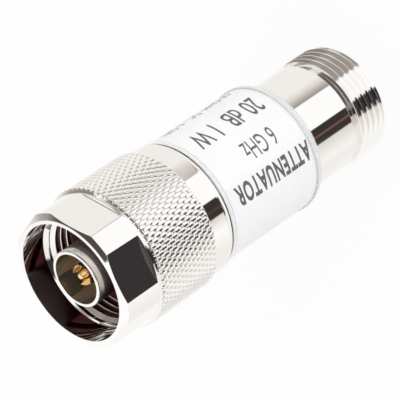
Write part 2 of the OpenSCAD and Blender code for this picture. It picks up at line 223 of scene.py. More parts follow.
# Matte solids, in the same terms
matte = {
    "detail": 3.0, "grainDetail": 2.0, "even": 0.85, "uneven": 0.3, "coatRough": 0.04,
    "bump": 0.15, "depth": 0.01,
}


def makeMatte(name, finish):
    # matte solid: two tones in clouds and a fine grain
    material, wire = newMaterial(name)
    point = objectPoint(wire)
    clouds = noise(wire, point, finish["clouds"], matte["detail"])
    grain = noise(wire, point, finish["grain"], matte["grainDetail"])
    colour = mixColour(wire, clouds, finish["colour"], finish["tint"])
    rough = finish["rough"] * (matte["even"] + matte["uneven"] * grain)
    shader = wire.add("ShaderNodeBsdfPrincipled", None, {
        "Base Color": colour, "Roughness": rough,
        "Coat Weight": finish.get("coat", 0.0), "Coat Roughness": matte["coatRough"],
        "Normal": bump(wire, grain, matte["bump"], matte["depth"])})
    closeMaterial(wire, shader)
    return material


finishes = {
    "nickel": makeMetal("brightNickel", plating),
    # nut: the dark red tone in the thread relief is a painted reflection of the red gasket and of the shade
    # inside the nut
    "nutNickelPaintedReflection": makeMetal("nutNickelPaintedReflection", {**plating, "paintedLightZones": [
        {"from": 7.53, "to": 8.2, "above": nutTop - 8.1, "below": nutTop - 5.3,
         "colour": (0.12, 0.055, 0.055), "rough": 0.25, "metallic": 1.0}]}),
    # plug: painted reflection and shade: a cream band at the top of the outer contact's side, a dark shaded
    # band below it, and a warm brown tone in the line's bore that mirrors the gold pin
    "plugNickelPaintedReflection": makeMetal("plugNickelPaintedReflection", {**plating, "paintedLightZones": [
        {"from": 3.8, "to": 4.1, "above": plugTop - 1.0, "below": plugTop - 0.12,
         "colour": (0.88, 0.82, 0.74), "rough": 0.18, "metallic": 1.0},
        {"from": 3.8, "to": 4.1, "above": 0.0, "below": plugTop - 1.0,
         "colour": (0.24, 0.185, 0.195), "rough": 0.25, "metallic": 1.0},
        {"from": 0.0, "to": 3.7, "above": 0.0, "below": plugTop - 0.1,
         "colour": (0.95, 0.84, 0.70), "rough": 0.0, "metallic": 0.95}]}),
    "gold": makeMetal("goldPlate", {
        "colour": (1.0, 0.80, 0.46), "tint": (0.98, 0.73, 0.38), "rough": 0.1, "lines": 10.0}),
    "bronze": makeMetal("springBronze", {
        "colour": (0.62, 0.43, 0.24), "tint": (0.50, 0.33, 0.18), "rough": 0.3, "lines": 8.0}),
    "brass": makeMetal("turnedBrass", {
        "colour": (0.80, 0.62, 0.32), "tint": (0.70, 0.52, 0.25), "rough": 0.25, "lines": 5.0}),
    "case_metal": makeMetal("turnedCase", {
        "colour": (0.78, 0.78, 0.77), "tint": (0.68, 0.68, 0.68), "rough": 0.2, "lines": 4.0}),
    "insulator": makeMatte("whiteInsulator", {
        "colour": (0.90, 0.90, 0.88), "tint": (0.84, 0.84, 0.82), "rough": 0.45,
        "clouds": 0.8, "grain": 9.0}),
    "silicone": makeMatte("redSilicone", {
        "colour": (0.16, 0.012, 0.012), "tint": (0.11, 0.008, 0.009), "rough": 0.5,
        "clouds": 1.0, "grain": 7.0}),
    "alumina": makeMatte("firedCeramic", {
        "colour": (0.88, 0.88, 0.85), "tint": (0.80, 0.80, 0.77), "rough": 0.6,
        "clouds": 1.2, "grain": 14.0}),
    "film": makeMatte("resistFilm", {
        "colour": (0.035, 0.035, 0.04), "tint": (0.06, 0.055, 0.06), "rough": 0.4,
        "clouds": 2.0, "grain": 16.0}),
    "label_paper": makeMatte("labelPaper", {
        "colour": (0.955, 0.957, 0.96), "tint": (0.935, 0.938, 0.943), "rough": 0.5, "coat": 0.5,
        "clouds": 0.3, "grain": 12.0}),
    "ink": makeMatte("printInk", {
        "colour": (0.03, 0.028, 0.03), "tint": (0.05, 0.048, 0.05), "rough": 0.5,
        "clouds": 1.5, "grain": 10.0}),
}


# Clear film: slopes are per millimetre, and each zone adds its share of cover
clearFilm = {
    "colour": (0.97, 0.975, 0.98), "tint": (0.96, 0.965, 0.97), "edgeColour": (0.5, 0.51, 0.53),
    "rough": 0.04, "ior": 1.45, "clouds": 0.6, "detail": 3.0, "bump": 0.05, "depth": 0.02,
    "lipStart": 0.1, "lipSlope": 6, "shoulderStart": 0.3, "shoulderSlope": 2, "edgeSlope": 12,
    "cover": 0.05, "lipCover": 0.7, "shoulderCover": 0.6, "edgeCover": 0.3,
}


def makeClearFilm():
    # clear shrink film: hardly seen over the label, milky at the flared lip and where it is drawn in
    # round the case, with a grey line at the label's upper edge
    material, wire = newMaterial("clearFilm")
    point = objectPoint(wire)
    clouds = noise(wire, point, clearFilm["clouds"], clearFilm["detail"])
    level = radiusAndLevel(wire, point)[1]
    lip = ((level - (labelTop - clearFilm["lipStart"])) * clearFilm["lipSlope"]).held()
    shoulder = (((labelBottom + clearFilm["shoulderStart"]) - level) * clearFilm["shoulderSlope"]).held()
    edge = (1 - wire.math("ABSOLUTE", level - labelTop) * clearFilm["edgeSlope"]).held()
    tone = mixColour(wire, clouds, clearFilm["colour"], clearFilm["tint"])
    cover = clearFilm["cover"] + clearFilm["lipCover"] * lip
    cover = cover + clearFilm["shoulderCover"] * shoulder + clearFilm["edgeCover"] * edge
    shader = wire.add("ShaderNodeBsdfPrincipled", None, {
        "Base Color": mixColour(wire, edge, tone, clearFilm["edgeColour"]),
        "Roughness": clearFilm["rough"] + clearFilm["rough"] * clouds, "IOR": clearFilm["ior"],
        "Alpha": cover.held(), "Normal": bump(wire, clouds, clearFilm["bump"], clearFilm["depth"])})
    closeMaterial(wire, shader)
    return material


finishes["clear_film"] = makeClearFilm()
for row in frame["record"]["subparts"]:
    mesh = frame["nodes"][row["node"]].data
    mesh.materials.clear()
    mesh.materials.append(finishes[row["material_slot"]])
print("finishes made:", len(finishes))


# Surfaces: a profile has rows of (radius, level), with a column for each angle
rounding = {"share": 0.36, "guard": 1.35, "least": 1e-9}  # most of a side for a cut, guard's place in cuts
welding = {"merge": 2e-7, "dissolve": 1e-7}  # metres
threadForm = {"pitch": 25.4 / 24, "flat": 0.125, "rootSoft": 1.6, "spareTurns": 2}  # 24 turns to the inch


def roundCorners(corners, cuts, steps=6):
    # each inner corner C becomes the curve (1-s)^2 A + 2s(1-s) C + s^2 B, with A and B a cut away on
    # its sides, and one guard row on each side of it, so that shading stays flat beyond
    corner = corners[1:-1]
    cuts = np.asarray(cuts, float)[:, None, None]
    before, after = corners[:-2] - corner, corners[2:] - corner
    lengthBefore = np.linalg.norm(before, axis=-1, keepdims=True)
    lengthAfter = np.linalg.norm(after, axis=-1, keepdims=True)
    before = before / np.maximum(lengthBefore, rounding["least"])
    after = after / np.maximum(lengthAfter, rounding["least"])
    reach = np.minimum(cuts, rounding["share"] * np.minimum(lengthBefore, lengthAfter))
    start, end = corner + before * reach, corner + after * reach
    s = np.linspace(0, 1, steps + 1)[:, None, None]
    curve = (1 - s) ** 2 * start[:, None] + 2 * s * (1 - s) * corner[:, None] + s ** 2 * end[:, None]
    guard = rounding["guard"] * reach
    rows = np.concatenate(
        [(corner + before * guard)[:, None], curve, (corner + after * guard)[:, None]], axis=1)
    rows = rows.reshape(-1, *corners.shape[1:])
    return np.concatenate([corners[:1], rows, corners[-1:]])


def spread(points, columns):
    # the same (radius, level) in every column
    return np.repeat(np.asarray(points, float)[:, None, :], columns, axis=1)


def threadRows(profile, low, high, angle, phase, limit):
    # helix: level = low + pitch * (turn + angle / full circle), held between low and high, and the
    # radius is that of the one-pitch profile at that turn, then limited by the envelope at that level
    pitch, spare = threadForm["pitch"], threadForm["spareTurns"]
    turns = (high - low) / pitch
    u = (np.arange(-spare, math.ceil(turns) + spare)[:, None] + profile[:, 0][None, :]).ravel()[:, None]
    lead = angle[None, :] / (2 * np.pi) + phase
    u = np.clip(u, -lead, turns - lead)
    level = low + pitch * (u + lead)
    radius = np.interp(np.mod(u, 1.0), profile[:, 0], profile[:, 1], period=1.0)
    return np.stack([limit(radius, level), level], axis=-1)


def threadProfile(crest, root, soft, steps):
    # one pitch of a 60 degree thread from root to root, with equal flats and rounded corners, as
    # (share of the pitch, radius)
    pitch, half = threadForm["pitch"], threadForm["flat"] / 2
    share = np.array([-half, half, 0.5 - half, 0.5 + half, 1 - half, 1 + half])
    radius = np.array([root, root, crest, crest, root, root])
    corners = np.stack([share * pitch, radius], axis=-1)[:, None, :]
    rootSoft = threadForm["rootSoft"] * soft
    rows = roundCorners(corners, [rootSoft, soft, soft, rootSoft], steps)[:, 0]
    keep = rows[(rows[:, 0] >= 0) & (rows[:, 0] < pitch)]
    return np.stack([keep[:, 0] / pitch, keep[:, 1]], axis=-1)


def carryRound(profile, angle):
    # (radius, level) carried round the axis to (x, y, z)
    radius, level = profile[..., 0], profile[..., 1]
    return np.stack([radius * np.cos(angle), radius * np.sin(angle), level], axis=-1)


def gridFaces(rows, columns):
    # faces between neighbouring rows and columns, outward where the profile runs up the outside
    start = (np.arange(rows - 1)[:, None] * columns + np.arange(columns - 1)).ravel()
    return np.stack([start, start + 1, start + columns + 1, start + columns], axis=1)


def gridPatch(points):
    # points, faces, and whether they are shaded smooth
    return points.reshape(-1, 3), gridFaces(*points.shape[:2]).tolist(), True


def makePiece(name, patches, body, slot, nodes=(), sharp=17.0, finish=None):
    # patches meet at equal points, so merging the doubles closes the piece
    points, faces, smooth = [], [], []
    for patchPoints, patchFaces, patchSmooth in patches:
        base = sum(len(p) for p in points)
        points.append(patchPoints)
        faces.extend([[base + i for i in face] for face in patchFaces])
        smooth.extend([patchSmooth] * len(patchFaces))
    mesh = bpy.data.meshes.new(name)
    mesh.from_pydata((np.concatenate(points) * mm).tolist(), [], faces)
    mesh.polygons.foreach_set("use_smooth", smooth)
    work = bmesh.new()
    work.from_mesh(mesh)
    bmesh.ops.remove_doubles(work, verts=work.verts, dist=welding["merge"])
    bmesh.ops.dissolve_degenerate(work, edges=work.edges, dist=welding["dissolve"])
    work.to_mesh(mesh)
    work.free()
    mesh.set_sharp_from_angle(angle=math.radians(sharp))
    piece = bpy.data.objects.new(name, mesh)
    bpy.context.scene.collection.objects.link(piece)
    mesh.materials.append(finishes[finish or slot])
    if nodes:
        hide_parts(*nodes)
    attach(piece, body)
    print(name, "faces:", len(mesh.polygons))


def fullTurn(columns):
    # angles all the way round, with the first one again at the end
    return np.linspace(0, 2 * np.pi, columns + 1)


def turnedPiece(name, corners, cuts, body, slot, nodes=(), columns=192, finish=None):
    # closed profile of (radius, level) corners, carried once round
    angle = fullTurn(columns)
    ring = np.concatenate([spread(corners, columns + 1), spread(corners[:1], columns + 1)])
    rows = roundCorners(ring, cuts)
    makePiece(name, [gridPatch(carryRound(rows, angle))], body, slot, nodes, finish=finish)


# Coupling nut: six flats, diamond knurl, smooth rear band, and the thread inside
nut = {
    "flatRadius": 8.95, "cornerRadius": 9.575, "flatsLength": 5.8, "flatsTurn": 11.0,
    "rimRadius": 8.75, "coneLength": 0.35, "landLength": 0.2,
    "rearRadius": 9.5, "rearRound": 0.75,
    "mouthRadius": 8.25, "mouthDepth": 3.6, "threadRadius": 7.45, "threadRoot": 8.02, "threadLength": 3.6,
    "reliefRadius": 8.1, "boreRadius": 6.85, "grooveRadius": 7.4, "shoulder": 1.25, "endFit": 0.05,
    "phase": 0.2, "soft": 0.025, "threadSteps": 2,
    "frontCuts": (0.04, 0.12, 0.03, 0.03, 0.04), "frontSteps": 2,
    "innerCuts": (0.05, 0.05, 0.05, 0.03, 0.03, 0.03, 0.03), "innerSteps": 1,
    "boreCut": 0.1, "bandCut": 0.02, "rearSteps": 4, "sharp": 24.0,
}
knurl = {
    "radius": 9.975, "length": 10.4, "count": 67, "rows": 14,
    "endStep": 0.12, "rearRise": 20.0, "frontRise": 1.1,
    "across": (0.0, 0.08, 0.25, 0.5, 0.75, 0.92), "rise": (-0.125, -0.04, -0.006, 0.0, -0.006, -0.04),
}


def knurlStep(index):
    # place of a lattice line, in diamonds
    across = np.array(knurl["across"])
    return index // len(across) + across[index % len(across)]


def knurlPatch(bottom, endBottom, endTop):
    # diamond knurl: two families of grooves p and q cross, angle = pi (p + q) / count and
    # level = length (p - q) / rows, the two families' heights add up to domed diamonds, and both ends
    # rise from a plain ring; b steps round the nut and m up it
    count, rows, fine = knurl["count"], knurl["rows"], len(knurl["across"])
    b, m = np.meshgrid(np.arange(fine * count), np.arange(fine * rows + 1), indexing="ij")
    p, q = knurlStep(b + m), knurlStep(b)
    rise = np.array(knurl["rise"])
    angle = np.pi * (p + q) / count
    level = knurl["length"] * (p - q) / rows
    end = np.minimum(endBottom + knurl["rearRise"] * level,
                     endTop + knurl["frontRise"] * (knurl["length"] - level))
    radius = np.minimum(knurl["radius"] + rise[(b + m) % fine] + rise[b % fine], end)
    points = carryRound(np.stack([radius, level + bottom], axis=-1), angle)
    last = fine * rows

    def at(b, m):
        # number of a lattice point
        return (b % (fine * count)) * (last + 1) + m

    b, m = np.meshgrid(np.arange(fine * count), np.arange(1, last), indexing="ij")
    b, m = b.ravel(), m.ravel()
    diamonds = np.stack([at(b, m), at(b + 1, m - 1), at(b + 1, m), at(b, m + 1)], 1)
    ring = np.arange(fine * count)
    low = np.stack([at(ring, 0), at(ring + 1, 0), at(ring, 1)], 1)
    high = np.stack([at(ring, last), at(ring + 1, last - 1), at(ring + 1, last)], 1)
    return points.reshape(-1, 3), diamonds.tolist() + low.tolist() + high.tolist(), True


def hexRadius(angle):
    # flats cut the round bar: the lower of cornerRadius and flatRadius / cos(angle from the flat's middle)
    sixth = np.pi / 3
    off = np.mod(angle - math.radians(nut["flatsTurn"]) + sixth / 2, sixth) - sixth / 2
    return np.minimum(nut["cornerRadius"], nut["flatRadius"] / np.cos(off))


def snapToEdges(angle):
    # the columns nearest the edges of the flats move onto them, with a flat to spare at both ends
    half = math.acos(nut["flatRadius"] / nut["cornerRadius"])
    middle = math.radians(nut["flatsTurn"]) + np.arange(-1, 7) * np.pi / 3
    edges = np.concatenate([middle - half, middle + half])
    edges = edges[(edges > angle[1]) & (edges < angle[-2])]
    snapped = angle.copy()
    snapped[np.abs(angle[None, :] - edges[:, None]).argmin(axis=1)] = edges
    return snapped


def makeNut():
    knurlBottom = nutTop - nut["flatsLength"] - nut["landLength"] - knurl["length"]
    knurlTop = knurlBottom + knurl["length"]
    fine = len(knurl["across"])
    column = np.arange(fine * knurl["count"] + 1)
    angle = 2 * np.pi * knurlStep(column) / knurl["count"]
    columns = len(angle)
    edged = snapToEdges(angle)
    endBottom = nut["rearRadius"] + knurl["endStep"]
    endTop = nut["cornerRadius"]

    # outside and front: land, back wall of the flats, flats, cone, rim and mouth
    flat = hexRadius(edged)
    slope = nut["coneLength"] / (nut["cornerRadius"] - nut["rimRadius"])
    backWall = nutTop - nut["flatsLength"]
    coneEdge = nutTop - (flat - nut["rimRadius"]) * slope
    mouthFoot = nutTop - nut["mouthDepth"]
    front = spread([
        (endTop, knurlTop), (nut["cornerRadius"], backWall), (0, backWall), (0, 0),
        (nut["rimRadius"], nutTop), (nut["mouthRadius"], nutTop), (nut["mouthRadius"], mouthFoot)], columns)
    front[2, :, 0] = flat
    front[3] = np.stack([flat, coneEdge], axis=-1)
    rows = roundCorners(front, nut["frontCuts"], nut["frontSteps"])
    share = np.clip((rows[:, :, 1] - knurlTop) / nut["landLength"], 0, 1)
    inside = rows[:, :, 0] < 0.5 * (nut["rimRadius"] + nut["mouthRadius"])
    share = np.where(inside, 0.0, share)
    frontAngle = angle + share * (edged - angle)

    # thread, opened by the cone at the mouth's foot
    threadFoot = mouthFoot - (nut["mouthRadius"] - nut["threadRadius"]) - nut["threadLength"]
    coneFoot = threadFoot + nut["threadLength"]

    def openedByCone(radius, level):
        return np.maximum(radius, nut["threadRadius"] + np.maximum(level - coneFoot, 0))

    profile = threadProfile(nut["threadRadius"], nut["threadRoot"], nut["soft"], nut["threadSteps"])
    thread = threadRows(profile, threadFoot, mouthFoot, angle, nut["phase"], openedByCone)[::-1]
    thread[0, :, 0] = nut["mouthRadius"]

    # inside: relief, shoulder, and bore with the ring's groove
    shoulder = ringTop + nut["shoulder"]
    halfway = (ringBottom + nutBottom) / 2
    grooveTop, grooveFoot = ringTop + nut["endFit"], ringBottom - nut["endFit"]
    inner = spread([
        (0, 0), (nut["reliefRadius"], threadFoot), (nut["reliefRadius"], shoulder),
        (nut["boreRadius"], shoulder), (nut["boreRadius"], grooveTop), (nut["grooveRadius"], grooveTop),
        (nut["grooveRadius"], grooveFoot), (nut["boreRadius"], grooveFoot),
        (nut["boreRadius"], halfway)], columns)
    inner[0] = thread[-1]
    inner = roundCorners(inner, nut["innerCuts"], nut["innerSteps"])

    # rear: face, rounded edge and smooth band
    rear = spread([
        (nut["boreRadius"], halfway), (nut["boreRadius"], nutBottom), (nut["rearRadius"], nutBottom),
        (nut["rearRadius"], knurlBottom), (endBottom, knurlBottom)], columns)
    rear = roundCorners(rear, [nut["boreCut"], nut["rearRound"], nut["bandCut"]], nut["rearSteps"])
    patches = [
        gridPatch(carryRound(rows, frontAngle)),
        gridPatch(carryRound(thread, angle)),
        gridPatch(carryRound(inner, angle)),
        gridPatch(carryRound(rear, angle)),
        knurlPatch(knurlBottom, endBottom, endTop),
    ]
    makePiece("knurledNut", patches, "nut", "nickel", ["coupling_nut"], nut["sharp"], "nutNickelPaintedReflection")


makeNut()


# Jack: threaded end, relief, smooth barrel, spigot in the case, and the bores
jack = {
    "threadRadius": 7.94, "threadRoot": 7.33, "threadLength": 5.3,
    "phase": 0.62, "soft": 0.02, "threadSteps": 3,
    "endRadius": 7.49, "reliefRadius": 7.2, "reliefLength": 0.95, "barrelRadius": 7.86, "barrelChamfer": 0.2,
    "mouthRadius": 4.05, "mouthDepth": 9.1, "mouthChamfer": 0.15, "lineRadius": 3.5, "beadRadius": 4.2,
    "spigotRadius": 7.39, "runOut": 4.0, "collar": 0.06, "columns": 240,
    "cuts": (0.05, 0.05, 0.03, 0.04, 0.02, 0.02, 0.05, 0.05, 0.02, 0.02, 0.05, 0.02, 0.03, 0.03),
}


def makeJack():
    angle = fullTurn(jack["columns"])
    columns = len(angle)
    reliefFoot = jack["threadLength"]
    barrelFoot = reliefFoot + jack["reliefLength"]

    def chamferedEnd(radius, level):
        # chamfer at the open end, and the groove runs out at the relief
        runOut = jack["threadRadius"] - jack["runOut"] * np.maximum(reliefFoot - jack["collar"] - level, 0)
        return np.minimum(np.maximum(radius, runOut), jack["endRadius"] + level)

    profile = threadProfile(jack["threadRadius"], jack["threadRoot"], jack["soft"], jack["threadSteps"])
    thread = threadRows(profile, jackBottom, reliefFoot, angle, jack["phase"], chamferedEnd)
    upper = spread([
        (0, 0), (jack["reliefRadius"], reliefFoot), (jack["reliefRadius"], barrelFoot),
        (jack["barrelRadius"] - jack["barrelChamfer"], barrelFoot),
        (jack["barrelRadius"], barrelFoot + jack["barrelChamfer"]), (jack["barrelRadius"], caseBottom),
        (jack["spigotRadius"], caseBottom), (jack["spigotRadius"], jackTop), (jack["beadRadius"], jackTop),
        (jack["beadRadius"], jackBeadBottom), (jack["lineRadius"], jackBeadBottom),
        (jack["lineRadius"], jack["mouthDepth"]), (jack["mouthRadius"], jack["mouthDepth"]),
        (jack["mouthRadius"], jack["mouthChamfer"]),
        (jack["mouthRadius"] + jack["mouthChamfer"], jackBottom), (0, 0)], columns)
    upper[0] = thread[-1]
    upper[-1] = thread[0]
    patches = [
        gridPatch(carryRound(thread, angle)),
        gridPatch(carryRound(roundCorners(upper, jack["cuts"]), angle)),
    ]
    makePiece("jackShell", patches, "body", "nickel", ["jack_shell"])


makeJack()


# Plug: outer contact, neck with the ring's groove, collar and spigot
plug = {
    "contactRadius": 3.975, "lineRadius": 3.5, "beadRadius": 4.2, "neckRadius": 6.6, "grooveRadius": 5.65,
    "grooveFit": 0.05, "float": 0.45, "collarRadius": 8.2, "collarLength": 0.25, "spigotRadius": 7.39,
    "cuts": (0.05, 0.01, 0.05, 0.05, 0.05, 0.03, 0.03, 0.03, 0.03, 0.05, 0.05, 0.16, 0.06, 0.02, 0.02),
}
grooveFoot = ringBottom - plug["grooveFit"]
grooveTop = ringTop + plug["float"] + plug["grooveFit"]
turnedPiece("plugShell", [
    (plug["beadRadius"], plugBottom), (plug["spigotRadius"], plugBottom), (plug["spigotRadius"], caseTop),
    (plug["collarRadius"], caseTop), (plug["collarRadius"], caseTop + plug["collarLength"]),
    (plug["neckRadius"], caseTop + plug["collarLength"]), (plug["neckRadius"], grooveFoot),
    (plug["grooveRadius"], grooveFoot), (plug["grooveRadius"], grooveTop), (plug["neckRadius"], grooveTop),
    (plug["neckRadius"], gasketBottom), (plug["contactRadius"], gasketBottom),
    (plug["contactRadius"], plugTop), (plug["lineRadius"], plugTop), (plug["lineRadius"], plugBeadTop),
    (plug["beadRadius"], plugBeadTop),
], plug["cuts"], "body", "nickel", ["plug_shell"], finish="plugNickelPaintedReflection")


# Gasket at the foot of the outer contact
gasket = {"bore": 3.985, "radius": 7.385, "edge": 0.18, "columns": 128}
turnedPiece("plugGasket", [
    (gasket["bore"], gasketBottom), (gasket["radius"], gasketBottom), (gasket["radius"], gasketTop),
    (gasket["bore"], gasketTop),
], [gasket["edge"]] * 3, "body", "silicone", ["plug_gasket"], gasket["columns"])


# Pin: thin end with a tapered nose, full line, neck in the bead, tail
pin = {
    "tipRadius": 0.825, "tipLength": 4.7, "noseRadius": 0.38, "noseLength": 1.1,
    "lineRadius": 1.52, "neckRadius": 1.1, "tailRadius": 0.8, "tailLength": 1.5, "columns": 96,
    "cuts": (0.1, 0.03, 0.08, 0.05, 0.02, 0.02, 0.05, 0.18, 0.05, 0.5, 0.14),
}


def makePin():
    angle = fullTurn(pin["columns"])
    step = pinTop - pin["tipLength"]
    tailTop = pinBottom + pin["tailLength"]
    corners = np.array([
        (0, pinBottom), (pin["tailRadius"], pinBottom), (pin["tailRadius"], tailTop),
        (pin["lineRadius"], tailTop), (pin["lineRadius"], plugBeadBottom),
        (pin["neckRadius"], plugBeadBottom), (pin["neckRadius"], plugBeadTop),
        (pin["lineRadius"], plugBeadTop), (pin["lineRadius"], step), (pin["tipRadius"], step),
        (pin["tipRadius"], pinTop - pin["noseLength"]), (pin["noseRadius"], pinTop), (0, pinTop)])
    rows = roundCorners(spread(corners, len(angle)), pin["cuts"])
    makePiece("plugPin", [gridPatch(carryRound(rows, angle))], "body", "gold", ["plug_pin"])


makePin()


# Label wrapped round the case, its ends almost meeting at the back
label = {"inner": 8.91, "wall": 0.1, "seam": 3.0, "edge": 0.02, "steps": 3, "columns": 240}


def makeLabel():
    seam = math.radians(label["seam"])
    angle = np.linspace(np.pi / 2 + seam / 2, 2.5 * np.pi - seam / 2, label["columns"] + 1)
    outer = label["inner"] + label["wall"]
    ring = spread([
        (label["inner"], labelBottom), (outer, labelBottom), (outer, labelTop), (label["inner"], labelTop),
        (label["inner"], labelBottom)], len(angle))
    rows = roundCorners(ring, [label["edge"]] * 3, label["steps"])
    points = carryRound(rows, angle)
    flat = points.reshape(-1, 3)
    loop = np.arange(points.shape[0] - 1) * len(angle)
    lids = [loop[::-1].tolist(), (loop + len(angle) - 1).tolist()]
    makePiece("labelWrap", [gridPatch(points), (flat, lids, False)], "body", "label_paper", ["label"])


makeLabel()


# Print on the label: plain ratings, reading from the jack towards the plug
printLines = [
    {"words": "50 OHM  DC - 6 GHz", "size": 2.6, "narrow": 0.52, "space": 1.0, "thick": 0.0,
     "middle": 13.0, "from": 17.0},
    {"words": "20 dB  1 W", "size": 4.5, "narrow": 0.58, "space": 1.0, "thick": 0.04,
     "middle": 50.5, "from": 17.3},
    {"words": "6 GHz", "size": 3.9, "narrow": 0.56, "space": 1.0, "thick": 0.0,
     "middle": 83.0, "from": 19.6},
    {"words": "ATTENUATOR", "size": 3.6, "narrow": 0.54, "space": 1.14, "thick": 0.12,
     "middle": 110.0, "from": 16.0},
]
ink = {"rise": 0.004, "slice": 0.25, "curveSteps": 4, "merge": 1e-5}


def printPatch(line):
    # letters as a flat mesh, sliced across their height, then laid on the label's outside
    curve = bpy.data.curves.new("letters", "FONT")
    curve.body = line["words"]
    curve.size = line["size"]
    curve.offset = line["thick"]
    curve.space_character = line["space"]
    curve.resolution_u = ink["curveSteps"]
    letters = bpy.data.objects.new("letters", curve)
    work = bmesh.new()
    work.from_mesh(letters.to_mesh())
    bmesh.ops.remove_doubles(work, verts=work.verts, dist=ink["merge"])
    heights = np.array([v.co.y for v in work.verts])
    for height in np.arange(heights.min(), heights.max(), ink["slice"])[1:]:
        geometry = work.verts[:] + work.edges[:] + work.faces[:]
        bmesh.ops.bisect_plane(work, geom=geometry, plane_co=(0, height, 0), plane_no=(0, 1, 0))
    work.verts.index_update()
    points = np.array([v.co for v in work.verts])
    faces = [[v.index for v in face.verts] for face in work.faces]
    work.free()
    bpy.data.objects.remove(letters)
    bpy.data.curves.remove(curve)
    radius = label["inner"] + label["wall"] + ink["rise"]
    centre = (heights.min() + heights.max()) / 2
    angle = -math.radians(line["middle"]) - (points[:, 1] - centre) / radius
    level = points[:, 0] * line["narrow"] + line["from"]
    profile = np.stack([np.full(len(points), radius), level], axis=-1)
    return carryRound(profile, angle), faces, True


makePiece("labelPrint", [printPatch(line) for line in printLines], "body", "ink")


# Clear sleeve: lower edge drawn in round the case, flared lip above
sleeve = {
    "inner": 9.02, "wall": 0.2, "caseRadius": 8.9, "caseRound": 1.35, "wrap": 62.0, "steps": 14,
    "flare": 0.14, "lipCuts": (0.2, 0.06, 0.06, 0.2), "columns": 240, "sharp": 30.0,
}


def makeSleeve():
    # an arc about the centre of the case's rounded edge, the straight wall, the lip, and back inside
    angle = fullTurn(sleeve["columns"])
    columns = len(angle)
    turnRadius = sleeve["caseRadius"] - sleeve["caseRound"]
    turnLevel = caseBottom + sleeve["caseRound"]
    bend = np.radians(np.linspace(-sleeve["wrap"], 0, sleeve["steps"]))
    reach = sleeve["inner"] - turnRadius
    arc = np.stack([np.cos(bend), np.sin(bend)], axis=-1)
    centre = np.array([turnRadius, turnLevel])
    outer = centre + arc * (reach + sleeve["wall"])
    inner = (centre + arc * reach)[::-1]
    out = sleeve["inner"] + sleeve["wall"]
    lip = np.array([
        outer[-1], (out, caseTop), (out + sleeve["flare"], sleeveTop),
        (sleeve["inner"] + sleeve["flare"], sleeveTop), (sleeve["inner"], caseTop), inner[0]])
    rows = np.concatenate([
        spread(outer, columns), roundCorners(spread(lip, columns), sleeve["lipCuts"]),
        spread(inner, columns), spread(outer[:1], columns)])
    patch = gridPatch(carryRound(rows, angle))
    makePiece("sleeveClear", [patch], "body", "clear_film", ["clear_sleeve"], sleeve["sharp"])


makeSleeve()


# Stage: pale floor that is white behind the object and keeps a share of its shadow
stage = {"floor": 3000.0, "gap": 0.02, "pale": (0.9, 0.9, 0.9), "keep": 0.12, "sky": 0.88}


def emission(wire, colour):
    return wire.add("ShaderNodeEmission", None, {"Color": colour, "Strength": 1.0})


def seenRays(wire):
    # 1 for the rays that show the background: straight, mirrored or through glass
    kinds = ("Is Camera Ray", "Is Glossy Ray", "Is Transmission Ray")
    camera, glossy, through = (wire.add("ShaderNodeLightPath", None, None, kind) for kind in kinds)
    return wire.math("MINIMUM", camera + glossy + through, 1.0)


def flatCard(name, corners, faces):
    mesh = bpy.data.meshes.new(name)
    mesh.from_pydata((np.asarray(corners, float) * mm).tolist(), [], faces)
    card = bpy.data.objects.new(name, mesh)
    bpy.context.scene.collection.objects.link(card)
    return card


def makeFloor():
    half = stage["floor"] / 2
    level = jackBottom - stage["gap"]
    corners = [(-half, -half, level), (half, -half, level), (half, half, level), (-half, half, level)]
    floor = flatCard("floor", corners, [[0, 1, 2, 3]])
    material, wire = newMaterial("paleFloor")
    paint = wire.add("ShaderNodeBsdfDiffuse", None, {"Color": (*stage["pale"], 1)})
    glow = emission(wire, (1, 1, 1, 1))
    share = seenRays(wire) * (1 - stage["keep"])
    closeMaterial(wire, wire.add("ShaderNodeMixShader", None, {0: share, 1: paint, 2: glow}))
    floor.data.materials.append(material)
    floor.visible_glossy = False


makeFloor()


